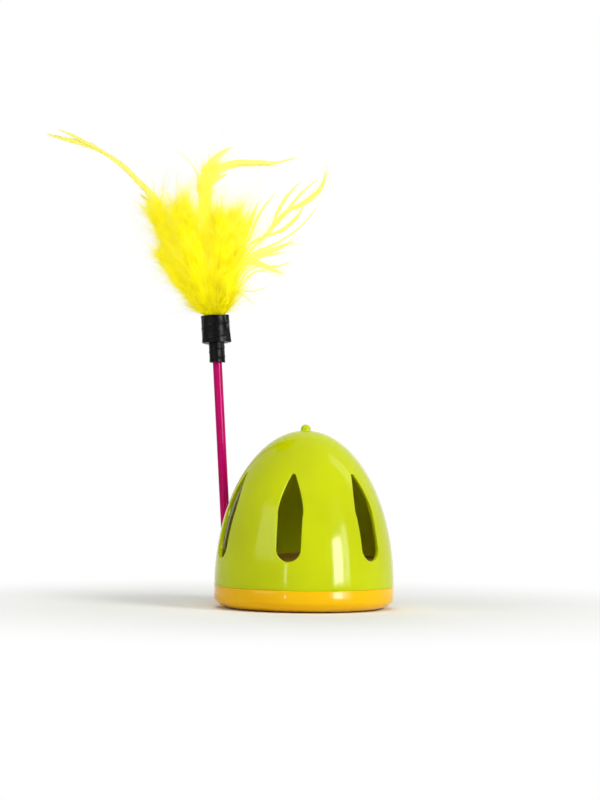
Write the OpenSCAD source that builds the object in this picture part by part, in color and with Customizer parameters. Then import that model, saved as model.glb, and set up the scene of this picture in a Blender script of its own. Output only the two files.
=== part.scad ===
// Cat activity toy: a slotted egg-shaped dome on a weighted base, with a bell
// hung under its top and a feather wand standing in a socket on the base's rim.
// Millimetres, +Z up. The origin is the centre of the base's flat underside.
// The front slot faces -Y.

/* [Dome] */
// Outer radius of the dome at the seam with the base
dome_r = 33.2; // [30:0.1:38]
// Height of the dome above the seam
dome_h = 57.5; // [54:0.5:64]
// Thickness of the dome's wall
dome_wall = 1.6; // [1.2:0.1:2.2]
// Radius of the round nub on the dome's top
nub_r = 1.85; // [1.4:0.05:2.4]
// Height of the nub above the dome's top
nub_h = 2.25; // [1.9:0.05:3.4]

/* [Slots] */
// How many slots go round the dome
slot_count = 6; // [4:1:7]
// Width of a slot
slot_w = 9.2; // [7:0.1:11]
// Height of a slot's lowest point above the seam
slot_foot = 10.4; // [10.3:0.1:14]
// Height above the seam at which a slot starts to narrow
slot_shoulder = 27.4; // [24:0.1:31]
// Height of a slot's tip above the seam
slot_tip = 42; // [38:0.1:45]
// Radius of a slot's rounded tip
slot_tip_r = 0.95; // [0.6:0.05:1.5]
// How far each edge of a slot juts out where it starts to narrow
slot_step = 0.2; // [0.1:0.05:0.4]

/* [Base] */
// Height of the base below the seam
base_h = 8.2; // [7.4:0.1:11]
// Height of the rounded lower edge of the base
base_round_h = 4; // [3:0.1:5]
// Width of the rounded lower edge of the base
base_round_w = 8; // [6:0.1:9]
// Thickness of the base's wall
base_wall = 1.8; // [1.4:0.1:2.2]
// Thickness of the base's floor
base_floor = 2; // [1.6:0.1:2.6]

/* [Inner cup] */
// Height of the deck's rim above the seam
deck_top = 9.7; // [8.6:0.1:9.8]
// Rise of the deck to its middle, so that treats roll out to the slots
deck_rise = 3; // [0:0.1:4]
// Thickness of the deck
deck_t = 1.6; // [1.2:0.1:2]
// Height of the cup's rim above the deck
cup_rim = 0.6; // [0.4:0.1:1]
// Thickness of the cup's wall
cup_wall = 1.5; // [1.2:0.1:2]
// Width and height of the snap bead round the cup's wall
bead = 0.5; // [0.3:0.05:0.7]
// Height of the snap bead above the seam
bead_z = 4; // [3:0.1:6]

/* [Weight and screws] */
// Radius of the steel plate in the base
weight_r = 24; // [22:0.1:24.4]
// Thickness of the steel plate
weight_t = 4; // [2:0.1:4.6]
// Number of screws
screw_count = 3; // [3:1:4]
// Distance of the screws from the middle
screw_ring = 18; // [16:0.1:18.6]
// Radius of a screw's shank
screw_r = 1.25; // [1:0.05:1.5]
// Length of a screw's shank
screw_l = 9; // [7:0.1:10]
// Radius of a screw's head
screw_head_r = 2.5; // [2.2:0.05:2.8]
// Thickness of a screw's head
screw_head_h = 1.5; // [1.2:0.1:1.8]
// Depth of the recess that a screw's head lies in
recess_d = 2.1; // [1.9:0.1:2.6]
// Outer radius of the bosses that take the screws
boss_r = 3.2; // [2.8:0.1:3.4]

/* [Bell] */
// Outer radius of the bell
bell_r = 4.5; // [3.5:0.1:5]
// Thickness of the bell's sheet
bell_wall = 0.4; // [0.3:0.05:0.6]
// Width of the cross slit in the bell
bell_slit = 0.9; // [0.6:0.05:1.2]
// Radius of the holes at the ends of the slit
bell_hole_r = 0.8; // [0.6:0.05:1]
// Radius of the pellet in the bell
pellet_r = 1.4; // [1.2:0.05:1.8]
// Mean radius of the ring that the bell hangs from
ring_r = 1.8; // [1.7:0.05:2.2]
// Radius of the ring's wire
ring_wire = 0.35; // [0.25:0.05:0.4]
// Mean radius of the screw eye and of the bell's own loop
eye_r = 1.3; // [1.2:0.05:1.5]
// Radius of the wire of the eye and of the loop
eye_wire = 0.4; // [0.3:0.05:0.45]
// Length of the screw eye's shank inside the dome's nub
eye_grip = 3; // [2.4:0.1:3.2]

/* [Wand] */
// Clear space between the dome and the wand's rod, at the height of the seam
wand_clear = 1.65; // [1.5:0.05:3]
// Side of the dome on which the wand stands, as an angle from the front
wand_side = -118; // [-130:1:-110]
// Lean of the wand away from the dome, in degrees
wand_lean = 4.6; // [3:0.1:6]
// Radius of the wand's rod
rod_r = 1.75; // [1.5:0.05:2]
// Length of the rod
rod_l = 102.2; // [80:0.2:120]
// Depth of the socket that the rod stands in
socket_d = 8.4; // [6:0.1:9]
// Height of the socket's mouth above the seam
socket_top = 5.8; // [4:0.1:8]
// Thickness of the socket's wall
socket_wall = 2; // [1.4:0.1:2.2]
// Outer radius of the narrow wrap
narrow_wrap_r = 3.05; // [2.8:0.05:3.6]
// Length of the narrow wrap
narrow_wrap_l = 7.4; // [5:0.1:10]
// Outer radius of the wide wrap
wide_wrap_r = 5.5; // [5:0.05:6.2]
// Length of the wide wrap
wide_wrap_l = 10.4; // [9.5:0.1:14]
// Thickness of the wide wrap's layers of tape
wide_wrap_t = 1.6; // [1.2:0.05:1.8]

/* [Feathers] */
// Height of the spray of feathers above the wide wrap
spray_h = 72.4; // [60:0.2:84]
// Turn of the spray of feathers about the upright, in degrees
spray_turn = 11.4; // [-20:0.1:40]
// Distance of the quills from the rod's axis
quill_ring = 2.9; // [2.8:0.05:3]
// Radius of a quill
quill_r = 0.5; // [0.4:0.05:0.6]
// How deep the quills reach into the wide wrap
quill_in = 8.5; // [6:0.1:9]

/* [Hidden] */
$fn = 64;
// running clearance of the rod in its socket
fit_rod = 0.08;
// clearance between pieces that are pushed or screwed together
fit = 0.15;
// clearance of the steel parts that screw or press into a hole
fit_thread = 0.05;
// clearance between pieces that move past each other
gap = 0.3;
// how far a cutting shape runs past the face that it cuts
over = 1;
profile_n = 22;
slot_n = 8;
slot_curve = 1.6;

in_r = dome_r - dome_wall;
in_h = dome_h - dome_wall;
cup_z0 = base_floor + recess_d;
cup_top = deck_top + cup_rim;
deck_z0 = base_h + deck_top - deck_t;
screw_head_z = recess_d - screw_head_h;
boss_hole_r = screw_r + fit_thread;
pillar_r = screw_head_r + fit + base_wall * 0.8;

// chain of the bell: each link hangs with a little slack in the next
link_step = ring_r + eye_r - ring_wire - eye_wire - 0.1;
eye_z = base_h + in_h - eye_r - eye_wire - gap;
ring_z = eye_z - link_step;
loop_z = ring_z - link_step;
bell_z = loop_z - eye_r - bell_r;
crimp_w = bell_wall + 0.1;
crimp_h = 1;

// distance of the wand from the dome's axis, at the height of the seam
wand_ring = dome_r + wand_clear + rod_r;
// height of the rod's lower end above the socket's floor
rod_end = gap;
socket_z = socket_top - socket_d;
// how far the wide wrap reaches past the rod's upper end
wrap_over = 0.86;
mouth = rod_end + rod_l + wrap_over;

// places for quills round the rod
feather_count = 13;
// height of the spray that the feathers below are drawn for, and how much larger it is made
drawn_h = 72.4;
spray = spray_h / drawn_h;
// how blunt the ends of a feather's vane are: lower is fuller
fullness = 0.68;

lime = [0.78, 0.83, 0.0];
amber = [0.98, 0.75, 0.0];
steel = [0.72, 0.73, 0.75];
brass = [0.85, 0.68, 0.3];
magenta = [0.77, 0.0, 0.43];
black = [0.06, 0.06, 0.06];
yellow = [1.0, 0.95, 0.1];

// Points of a quarter ellipse from (r, 0) up to (0, h).
function quarter(r, h, n) = [for (i = [0:n]) [r * cos(90 * i / n), h * sin(90 * i / n)]];
function backwards(list) = [for (i = [len(list) - 1:-1:0]) list[i]];
// Inner radius of the dome at height h above the seam.
function inside_r(h) = in_r * sqrt(1 - pow(h / in_h, 2));

// Stands children on the seam plane.
module on_seam() {
    translate([0, 0, base_h]) children();
}

module ring_of(count) {
    for (i = [0:count - 1]) rotate([0, 0, 360 * i / count]) children();
}

// A wire bent to a closed circle about the X axis, or about Y when turned.
module wire_ring(mean_r, wire_r) {
    rotate([90, 0, 0]) rotate_extrude($fn = 48) translate([mean_r, 0]) circle(wire_r, $fn = 24);
}

// Outline of one slot: round foot, straight sides that jut out a little, and a
// curved taper to a rounded tip.
module slot_outline() {
    w0 = slot_w / 2 + slot_step;
    top = slot_tip - slot_tip_r;
    taper = [for (i = [0:slot_n]) let (t = i / slot_n)
        [slot_tip_r + (w0 - slot_tip_r) * (1 - pow(t, slot_curve)),
         slot_shoulder + (top - slot_shoulder) * t]];
    side = concat([[slot_w / 2, slot_shoulder - 3 * slot_step]], taper);
    translate([0, slot_foot + slot_w / 2]) circle(slot_w / 2);
    translate([-slot_w / 2, slot_foot + slot_w / 2])
        square([slot_w, slot_shoulder - slot_foot - slot_w / 2]);
    polygon(concat([for (p = side) [p[0], p[1]]], [for (p = backwards(side)) [-p[0], p[1]]]));
    translate([0, top]) circle(slot_tip_r, $fn = 32);
}

module dome_profile() {
    polygon(concat(quarter(dome_r, dome_h, profile_n), backwards(quarter(in_r, in_h, profile_n))));
}

module dome_shell() {
    color(lime) on_seam() difference() {
        union() {
            rotate_extrude() dome_profile();
            translate([0, 0, in_h]) cylinder(r = nub_r * 0.88, h = dome_wall + nub_h - nub_r);
            translate([0, 0, dome_h + nub_h - nub_r]) sphere(nub_r);
        }
        ring_of(slot_count) rotate([90, 0, 0]) linear_extrude(dome_r + over) slot_outline();
        translate([0, 0, in_h - 2 * dome_wall]) cylinder(r = eye_wire + fit_thread, h = 2 * dome_wall + eye_grip);
        translate([0, 0, bead_z]) rotate_extrude() translate([inside_r(bead_z) - 0.02, 0])
            circle(bead + fit / 2, $fn = 24);
    }
}

// Section of the base's shell: flat underside, rounded lower edge, upright rim.
module bowl_profile() {
    flat_r = dome_r - base_round_w;
    edge = [for (p = backwards(quarter(base_round_w, base_round_h, 8)))
        [flat_r + p[0], base_round_h - p[1]]];
    inner_w = base_round_w - base_wall;
    inner_h = base_round_h + base_floor * 0.3;
    inner = [for (p = quarter(inner_w, inner_h, 8))
        [flat_r + p[0], base_floor + inner_h - p[1]]];
    polygon(concat([[0, 0]], edge, [[dome_r, base_h], [dome_r - base_wall, base_h]],
                   inner, [[0, base_floor]]));
}

// The upright of the wand's socket: children stand at the height of the seam.
module at_wand() {
    on_seam() rotate([0, 0, wand_side]) translate([0, -wand_ring, 0]) rotate([wand_lean, 0, 0])
        children();
}

module socket_post() {
    post_r = rod_r + fit_rod + socket_wall;
    foot_z = socket_z - socket_wall * 0.8;
    web_z = base_round_h + over / 2;
    difference() {
        union() {
            at_wand() translate([0, 0, foot_z + over]) cylinder(r = post_r, h = socket_top - foot_z - over);
            at_wand() translate([0, 0, foot_z]) cylinder(r1 = post_r - over, r2 = post_r, h = over);
            rotate([0, 0, wand_side]) translate([-post_r * 0.7, -wand_ring, web_z])
                cube([post_r * 1.4, wand_ring - dome_r + base_wall / 2, base_h - over / 2 - web_z]);
        }
        cylinder(r = dome_r - base_wall / 2, h = base_h + over, $fn = 96);
        on_seam() translate([0, 0, -gap]) cylinder(r = dome_r + gap, h = socket_top + over + gap, $fn = 96);
    }
}

module base_bowl() {
    color(amber) difference() {
        union() {
            rotate_extrude() bowl_profile();
            ring_of(screw_count) translate([0, screw_ring, 0]) cylinder(r = pillar_r, h = cup_z0);
            socket_post();
        }
        ring_of(screw_count) translate([0, screw_ring, 0]) {
            translate([0, 0, -over]) cylinder(r = screw_head_r + fit, h = recess_d + over);
            cylinder(r = screw_r + fit, h = cup_z0 + over);
        }
        at_wand() translate([0, 0, socket_z]) cylinder(r = rod_r + fit_rod, h = socket_d + over);
    }
}

// Section of the cup's wall: it follows the inside of the base, then of the dome.
module cup_profile() {
    low = dome_r - base_wall - fit;
    steps = 6;
    wall_out = [for (i = [0:steps]) let (h = cup_top * i / steps) [inside_r(h) - fit, base_h + h]];
    wall_in = [for (p = backwards(wall_out)) [p[0] - cup_wall, p[1]]];
    polygon(concat([[low, base_round_h + base_floor]], [[low, base_h]], wall_out, wall_in,
                   [[low - cup_wall, base_round_h + base_floor]]));
}

module inner_cup() {
    deck_r = inside_r(deck_top) - fit - cup_wall / 2;
    color(amber) difference() {
        union() {
            rotate_extrude() cup_profile();
            translate([0, 0, deck_z0]) rotate_extrude()
                polygon([[0, deck_rise], [deck_r, 0], [deck_r, deck_t], [0, deck_rise + deck_t]]);
            ring_of(screw_count) translate([0, screw_ring, cup_z0])
                cylinder(r = boss_r, h = deck_z0 + deck_rise * (1 - screw_ring / deck_r) + deck_t / 2 - cup_z0);
            translate([0, 0, base_h + bead_z]) rotate_extrude()
                translate([inside_r(bead_z) - fit / 2, 0]) circle(bead - fit / 2, $fn = 24);
        }
        ring_of(screw_count) translate([0, screw_ring, cup_z0 - over])
            cylinder(r = boss_hole_r, h = screw_l + over);
    }
}

module weight_plate() {
    color(steel) difference() {
        translate([0, 0, base_floor]) cylinder(r = weight_r, h = weight_t, $fn = 96);
        ring_of(screw_count) translate([0, screw_ring, 0])
            cylinder(r = pillar_r + fit, h = base_floor + weight_t + over);
    }
}

module base_screws() {
    color(steel) ring_of(screw_count) translate([0, screw_ring, screw_head_z]) difference() {
        union() {
            cylinder(r = screw_head_r, h = screw_head_h);
            cylinder(r = screw_r, h = screw_head_h + screw_l);
        }
        for (turn = [0, 90]) rotate([0, 0, turn])
            translate([-screw_r, -screw_r / 4, -over]) cube([2 * screw_r, screw_r / 2, screw_head_h / 2 + over]);
    }
}

module screw_eye() {
    color(steel) translate([0, 0, eye_z]) {
        wire_ring(eye_r, eye_wire);
        translate([0, 0, eye_r]) cylinder(r = eye_wire, h = eye_grip + eye_wire + gap, $fn = 24);
    }
}

module bell_ring() {
    color(brass) translate([0, 0, ring_z]) rotate([0, 0, 90]) wire_ring(ring_r, ring_wire);
}

module half_shell(outer, wall, side) {
    difference() {
        sphere(outer);
        sphere(outer - wall);
        translate([-2 * outer, -2 * outer, side > 0 ? -4 * outer : 0]) cube(4 * outer);
    }
}

module bell_upper() {
    color(brass) translate([0, 0, bell_z]) {
        half_shell(bell_r, bell_wall, 1);
        rotate_extrude() translate([bell_r + fit_thread, -crimp_h / 2]) square([crimp_w, crimp_h * 0.7]);
        rotate_extrude() translate([bell_r - bell_wall, 0]) square([bell_wall + crimp_w / 2, crimp_h * 0.2]);
        difference() {
            translate([0, 0, loop_z - bell_z]) wire_ring(eye_r, eye_wire);
            sphere(bell_r - bell_wall / 2);
        }
    }
}

module bell_lower() {
    slit_r = bell_r * 0.62;
    color(brass) translate([0, 0, bell_z]) difference() {
        half_shell(bell_r, bell_wall, -1);
        for (turn = [0, 90]) rotate([0, 0, turn]) {
            translate([-slit_r, -bell_slit / 2, -bell_r - over]) cube([2 * slit_r, bell_slit, bell_r + over / 2]);
            for (side = [-1, 1]) translate([side * slit_r, 0, -bell_r - over])
                cylinder(r = bell_hole_r, h = bell_r, $fn = 24);
        }
    }
}

module bell_pellet() {
    color(steel) translate([0, 0, bell_z - bell_r + bell_wall + pellet_r + fit_thread]) sphere(pellet_r);
}

module at_rod() {
    at_wand() translate([0, 0, socket_z]) children();
}

module wand_rod() {
    color(magenta) at_rod() translate([0, 0, rod_end]) cylinder(r = rod_r, h = rod_l);
}

module narrow_wrap() {
    color(black) at_rod() translate([0, 0, mouth - wide_wrap_l - narrow_wrap_l]) difference() {
        cylinder(r = narrow_wrap_r, h = narrow_wrap_l);
        translate([0, 0, -over]) cylinder(r = rod_r + fit_thread, h = narrow_wrap_l + 2 * over);
    }
}

module wide_wrap() {
    color(black) at_rod() translate([0, 0, mouth - wide_wrap_l]) difference() {
        cylinder(r = wide_wrap_r, h = wide_wrap_l);
        translate([0, 0, -over]) cylinder(r = rod_r + fit_thread, h = wide_wrap_l + over);
        translate([0, 0, over * 1.5]) cylinder(r = wide_wrap_r - wide_wrap_t, h = wide_wrap_l);
    }
}

// Smooth curve through the points P, at the share s of its run.
function bend(a, b, c, d, t) = 0.5 * (2 * b + (c - a) * t + (2 * a - 5 * b + 4 * c - d) * t * t
    + (3 * b - a - 3 * c + d) * t * t * t);
function along(P, s) = let (n = len(P) - 1, k = min(floor(s * n), n - 1))
    bend(P[max(k - 1, 0)], P[k], P[k + 1], P[min(k + 2, n)], s * n - k);
function unit(v) = v / norm(v);
function heading(P, s) = unit(along(P, min(s + 0.01, 1)) - along(P, max(s - 0.01, 0)));

// Half-width of a feather at share s: a bare quill, then a vane that swells and
// narrows to its tip, with its edge split into clumps.
function vane(s, bare, w, peak, splits) = s <= bare ? quill_r :
    let (t = (s - bare) / (1 - bare), clump = t * splits - floor(t * splits))
    quill_r * 0.6 + w * pow(sin(180 * pow(t * 0.97, peak)), fullness) * (1 - 0.3 * clump * min(1, splits));

// One feather as a closed solid: rings of an oval section along a smooth curve.
// place: which of the quill places round the rod it starts from.
// route: points [right, away, up] from the wrap's mouth; w, t: half-width and half-thickness.
// bare: share of the route above the mouth that has no vane.
module feather(place, route, w, t, bare = 0.05, peak = 1.5, splits = 0, rings = 18) {
    sides = 8;
    turn = 360 * place / feather_count;
    begin = 1 / (len(route) + 1);
    vane_from = begin + bare * (1 - begin);
    foot = [quill_ring * cos(turn), quill_ring * sin(turn), 0];
    P = concat([foot - [0, 0, quill_in], foot], [for (p = route) p * spray]);
    points = [for (i = [0:rings]) let (s = i / rings, c = along(P, s), head = heading(P, s),
            wide = unit(cross(head, [0, 1, 0])), deep = cross(wide, head),
            a = vane(s, vane_from, w * spray, peak, splits), b = vane(s, vane_from, t * spray, peak, 0))
        for (j = [0:sides - 1]) c + wide * a * cos(360 * j / sides) + deep * b * sin(360 * j / sides)];
    walls = [for (i = [0:rings - 1]) for (j = [0:sides - 1]) let (k = (j + 1) % sides)
        [i * sides + j, i * sides + k, (i + 1) * sides + k, (i + 1) * sides + j]];
    ends = [[for (j = [sides - 1:-1:0]) j], [for (j = [0:sides - 1]) rings * sides + j]];
    color(yellow) at_rod() translate([0, 0, mouth]) rotate([0, 0, spray_turn - wand_side])
        polyhedron(points, concat(walls, ends), convexity = 6);
}

// Hackles: long stiff feathers with a narrow vane.
module long_hackle() {
    feather(6, [[-7, 4, 18], [-17.5, 4.5, 41], [-28, 3, 54.4], [-41, 1, 65], [-54.5, 0, 70.4], [-60.6, 0, 72.4]],
            2.2, 0.5, bare = 0.2, peak = 1.1, splits = 5, rings = 28);
}

module right_hackle() {
    feather(2, [[7, 4, 15], [18, 5, 28], [30, 4, 38.5], [41, 3, 46], [45.6, 3, 53]],
            5.6, 0.5, bare = 0.22, peak = 0.75, splits = 5, rings = 30);
}

module crest_hackle() {
    feather(4, [[0.6, 4.5, 18], [0.4, 5, 36], [0.6, 4.6, 47], [3.4, 3, 55.4], [12.5, 1.5, 58.2],
                [25, 0.5, 56.8], [34.4, 0, 58.7]],
            1.6, 0.5, bare = 0.4, peak = 0.9, splits = 3, rings = 32);
}

module lower_hackle() {
    feather(0, [[7.6, 2, 9], [11.8, 2.7, 17.5], [18, 2.8, 22], [25, 2.7, 24.6], [31, 2.6, 27]],
            2.2, 0.5, bare = 0.3, peak = 0.8, splits = 4, rings = 24);
}

module small_hackle() {
    feather(1, [[7.5, 4.5, 7.5], [12, 6.4, 15.5], [17, 6.8, 18.6], [22, 6.6, 17.6], [27.2, 6.5, 14.9]],
            1.6, 0.5, bare = 0.3, peak = 0.8, splits = 4, rings = 24);
}

// Marabou plumes: soft feathers with a full, downy vane.
module top_plume() {
    feather(10, [[-0.5, -1.5, 12], [-1, 0, 26], [-2, 0, 45], [0, 0, 55], [9, -1, 63.5]],
            3.2, 2.4, peak = 0.9, splits = 4, rings = 22);
}

module left_plume() {
    feather(7, [[-6.4, -0.9, 15], [-15.2, -1, 30.5], [-21.6, -1, 42.5]], 4.6, 4, peak = 1.45, splits = 3);
}

module low_left_plume() {
    feather(8, [[-7.6, -2.9, 6.5], [-16, -3.3, 16.4], [-22, -3, 26]], 3, 2.9, splits = 3);
}

module front_left_plume() {
    feather(9, [[-5, -7, 15], [-8, -10.5, 30.5], [-10, -11.5, 44]], 5.4, 4.4, peak = 1.35, splits = 3);
}

module front_right_plume() {
    feather(11, [[3, -7, 15], [4.4, -10.5, 30.5], [5, -11.5, 44]], 5.4, 4.4, peak = 1.35, splits = 3);
}

module right_plume() {
    feather(12, [[5.8, -0.8, 14], [9.2, -0.8, 28], [11, -0.8, 40]], 4.2, 3.6, peak = 1.35, splits = 3);
}

module back_left_plume() {
    feather(5, [[-5, 8, 15], [-8, 11.5, 30.5], [-10, 12.5, 44]], 5.4, 4.4, peak = 1.4, splits = 3);
}

module back_right_plume() {
    feather(3, [[3, 8, 15], [5, 11.5, 30.5], [6, 12.5, 44]], 5.4, 4.4, peak = 1.4, splits = 3);
}

dome_shell();
base_bowl();
inner_cup();
weight_plate();
base_screws();
screw_eye();
bell_ring();
bell_upper();
bell_lower();
bell_pellet();
wand_rod();
narrow_wrap();
wide_wrap();
long_hackle();
right_hackle();
crest_hackle();
lower_hackle();
small_hackle();
top_plume();
left_plume();
low_left_plume();
front_left_plume();
front_right_plume();
right_plume();
back_left_plume();
back_right_plume();
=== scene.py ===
import math
import bmesh
import bpy
import numpy as np
from mathutils import Matrix, Vector


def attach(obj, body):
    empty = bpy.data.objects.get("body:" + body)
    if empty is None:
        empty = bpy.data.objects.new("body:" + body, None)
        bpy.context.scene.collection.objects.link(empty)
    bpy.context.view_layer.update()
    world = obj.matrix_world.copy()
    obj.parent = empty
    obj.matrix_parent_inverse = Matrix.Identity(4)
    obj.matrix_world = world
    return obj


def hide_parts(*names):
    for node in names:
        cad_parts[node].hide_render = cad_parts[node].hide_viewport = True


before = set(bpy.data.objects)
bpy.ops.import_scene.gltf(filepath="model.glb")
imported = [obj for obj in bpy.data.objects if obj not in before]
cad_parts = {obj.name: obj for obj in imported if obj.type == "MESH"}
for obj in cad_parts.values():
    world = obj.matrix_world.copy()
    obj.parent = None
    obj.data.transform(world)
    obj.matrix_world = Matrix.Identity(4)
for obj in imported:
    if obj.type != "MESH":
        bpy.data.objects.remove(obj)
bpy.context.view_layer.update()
scene = bpy.context.scene
scene.view_settings.view_transform = "Standard"
rng = np.random.default_rng(11)
mm = 0.001
print("frame loaded")


def linear(hexText):  # sRGB hex to linear RGBA
    parts = [int(hexText[i:i + 2], 16) / 255 for i in (1, 3, 5)]
    return tuple(p / 12.92 if p <= 0.04045 else ((p + 0.055) / 1.055) ** 2.4 for p in parts) + (1.0,)


# Adds one shader node: fields set, sockets filled, or linked to a socket or to a node's first output,
# and a ramp's (place, sRGB hex) stops.
def addNode(tree, kind, sockets=None, stops=(), **fields):
    node = tree.nodes.new("ShaderNode" + kind)
    for field, value in fields.items():
        setattr(node, field, value)
    for name, value in (sockets or {}).items():
        if isinstance(value, bpy.types.Node):
            value = value.outputs[0]
        if isinstance(value, bpy.types.NodeSocket):
            tree.links.new(value, node.inputs[name])
        else:
            node.inputs[name].default_value = value
    for place, hexText in stops[1:-1]:
        node.color_ramp.elements.new(place)
    for mark, (place, hexText) in zip(node.color_ramp.elements if stops else (), stops):
        mark.position, mark.color = place, linear(hexText)
    return node


def newMaterial(name):  # a material with an empty node tree
    material = bpy.data.materials.new(name)
    material.use_nodes = True
    material.node_tree.nodes.clear()
    return material, material.node_tree


# Injection-moulded or drawn plastic: an even, saturated colour that drifts between two close tones
# over about 20 mm, gloss that varies with handling over about 4 mm, and a skin with ripples about a
# millimetre wide, which break up reflections.
def mouldedPlastic(name, deep, mid, rough, level):
    material, tree = newMaterial(name)
    place = addNode(tree, "TexCoord").outputs["Object"]
    drift = addNode(tree, "TexNoise", {"Vector": place, "Scale": 45.0, "Detail": 2.0})
    colour = addNode(tree, "ValToRGB", {"Fac": drift}, [(0.35, deep), (0.65, mid)])
    wear = addNode(tree, "TexNoise", {"Vector": place, "Scale": 260.0, "Detail": 4.0})
    shine = addNode(tree, "MapRange", {"Value": wear, "From Min": 0.3, "From Max": 0.7,
                                       "To Min": rough * 0.85, "To Max": rough * 1.2})
    skin = addNode(tree, "TexNoise", {"Vector": place, "Scale": 900.0, "Detail": 2.0})
    bump = addNode(tree, "Bump", {"Height": skin, "Strength": 0.02, "Distance": 0.0002})
    shader = addNode(tree, "BsdfPrincipled", {"Base Color": colour, "Roughness": shine, "Normal": bump,
                                              "IOR": 1.53, "Specular IOR Level": level})
    addNode(tree, "OutputMaterial", {"Surface": shader})
    return material


# Marabou and hackle, bleached and dipped in a fluorescent yellow dye: bright along the barb and pale at
# its tip, darker at the root, which is painted shade, and with a painted glow of their own that lifts the
# shade in their folds, so that they stay yellow. BarbMap holds each point's place along its barb and the
# barb's own tone.
def featherMaterial(name, alongStops, toneStops, glow, paintedGlowHex):
    material, tree = newMaterial(name)
    parts = addNode(tree, "SeparateXYZ", {"Vector": addNode(tree, "UVMap", uv_map="BarbMap")})
    along = addNode(tree, "ValToRGB", {"Fac": parts.outputs["X"]}, alongStops)
    tone = addNode(tree, "ValToRGB", {"Fac": parts.outputs["Y"]}, toneStops)
    colour = addNode(tree, "Mix", {"Factor": 0.5, "A": along, "B": tone}, data_type="RGBA")
    shader = addNode(tree, "BsdfPrincipled", {
        "Base Color": colour.outputs[2], "Roughness": 0.6, "Specular IOR Level": 0.05,
        "Emission Color": linear(paintedGlowHex), "Emission Strength": glow})
    addNode(tree, "OutputMaterial", {"Surface": shader})
    return material


# PVC tape, stretched as it is wound: black and satin, with wrinkles two to three millimetres long
# that catch short streaks of light.
def tapeMaterial():
    material, tree = newMaterial("stretchedBlackPvcTape")
    place = addNode(tree, "TexCoord").outputs["Object"]
    wrinkle = addNode(tree, "TexNoise", {"Vector": place, "Scale": 420.0, "Detail": 5.0,
                                         "Distortion": 0.6})
    colour = addNode(tree, "ValToRGB", {"Fac": wrinkle}, [(0.3, "#030303"), (0.7, "#0A0A0A")])
    shine = addNode(tree, "MapRange", {"Value": wrinkle, "To Min": 0.2, "To Max": 0.45})
    bump = addNode(tree, "Bump", {"Height": wrinkle, "Strength": 0.35, "Distance": 0.0004})
    shader = addNode(tree, "BsdfPrincipled", {"Base Color": colour, "Roughness": shine, "Normal": bump,
                                              "IOR": 1.54, "Specular IOR Level": 0.06})
    addNode(tree, "OutputMaterial", {"Surface": shader})
    return material


# Plated or drawn metal: faint streaks a tenth of a millimetre wide vary its tone and gloss. They are
# drawn at about a millimetre, or they wouldn't show.
def metalMaterial(name, deep, bright, rough):
    material, tree = newMaterial(name)
    place = addNode(tree, "TexCoord").outputs["Object"]
    streak = addNode(tree, "TexNoise", {"Vector": place, "Scale": 700.0, "Detail": 3.0})
    colour = addNode(tree, "ValToRGB", {"Fac": streak}, [(0.3, deep), (0.7, bright)])
    shine = addNode(tree, "MapRange", {"Value": streak, "To Min": rough * 0.7, "To Max": rough * 1.3})
    shader = addNode(tree, "BsdfPrincipled", {"Base Color": colour, "Metallic": 1.0, "Roughness": shine})
    addNode(tree, "OutputMaterial", {"Surface": shader})
    return material


limePlastic = mouldedPlastic("mouldedLimeAbs", "#C0CB00", "#C8D400", 0.1, 0.11)
amberPlastic = mouldedPlastic("mouldedAmberAbs", "#F2B800", "#F9C200", 0.14, 0.11)
shadedAmber = mouldedPlastic("mattAmberAbsPaintedShade", "#8E6A00", "#9C7600", 0.5, 0.2)  # painted shade: the base's amber made darker, for the cup inside the dome
magentaPlastic = mouldedPlastic("extrudedMagentaPlastic", "#BC0062", "#C6006A", 0.16, 0.06)
blackTape = tapeMaterial()
# The dark low ends of both ramps are painted shade at the roots and in the gaps between barbs; the tone
# ramp also varies each barb's colour at random.
yellowDown = featherMaterial(
    "dyedMarabouDown", [(0.0, "#A49600"), (0.2, "#F4EA00"), (0.6, "#FFF800"), (1.0, "#FFFE8C")],
    [(0.0, "#847A00"), (0.3, "#EEE500"), (0.7, "#FFF800"), (1.0, "#FFFEB4")], 0.27, "#FFF500")
# The top plume: paler and more even than the others, painted light for the light that passes through it.
litThroughDown = featherMaterial(
    "dyedMarabouTip", [(0.0, "#F2EA00"), (0.4, "#FFFA40"), (1.0, "#FFFEA8")],
    [(0.0, "#EEE600"), (0.5, "#FFFA60"), (1.0, "#FFFEE0")], 0.24, "#FFF870")
# Stiff feathers of less dye: a greyer, paler yellow. The longest one is a shade deeper.
paleHackle = featherMaterial(
    "dyedHackleFeather", [(0.0, "#DBD436"), (0.5, "#E1D950"), (1.0, "#E7E388")],
    [(0.0, "#CEC738"), (0.6, "#DFD84E"), (1.0, "#E9E597")], 0.34, "#FFF690")
longHackle = featherMaterial(
    "dyedLongHackleFeather", [(0.0, "#D0C83A"), (0.5, "#D4CC48"), (1.0, "#DDD77C")],
    [(0.0, "#BBB430"), (0.6, "#D0C844"), (1.0, "#DFDB8C")], 0.28, "#FFF690")
steelMetal = metalMaterial("zincPlatedSteel", "#8E9094", "#C2C4C8", 0.32)
brassMetal = metalMaterial("polishedBrass", "#C79A3A", "#E0B654", 0.2)
print("materials ready")


def gridFaces(rows, cols):  # the quads of a grid whose last column joins its first
    r = np.arange(rows - 1)[:, None] * cols
    c = np.arange(cols)[None, :]
    following = (c + 1) % cols
    return np.stack([r + c, r + following, r + cols + following, r + cols + c], -1).reshape(-1, 4)


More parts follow.
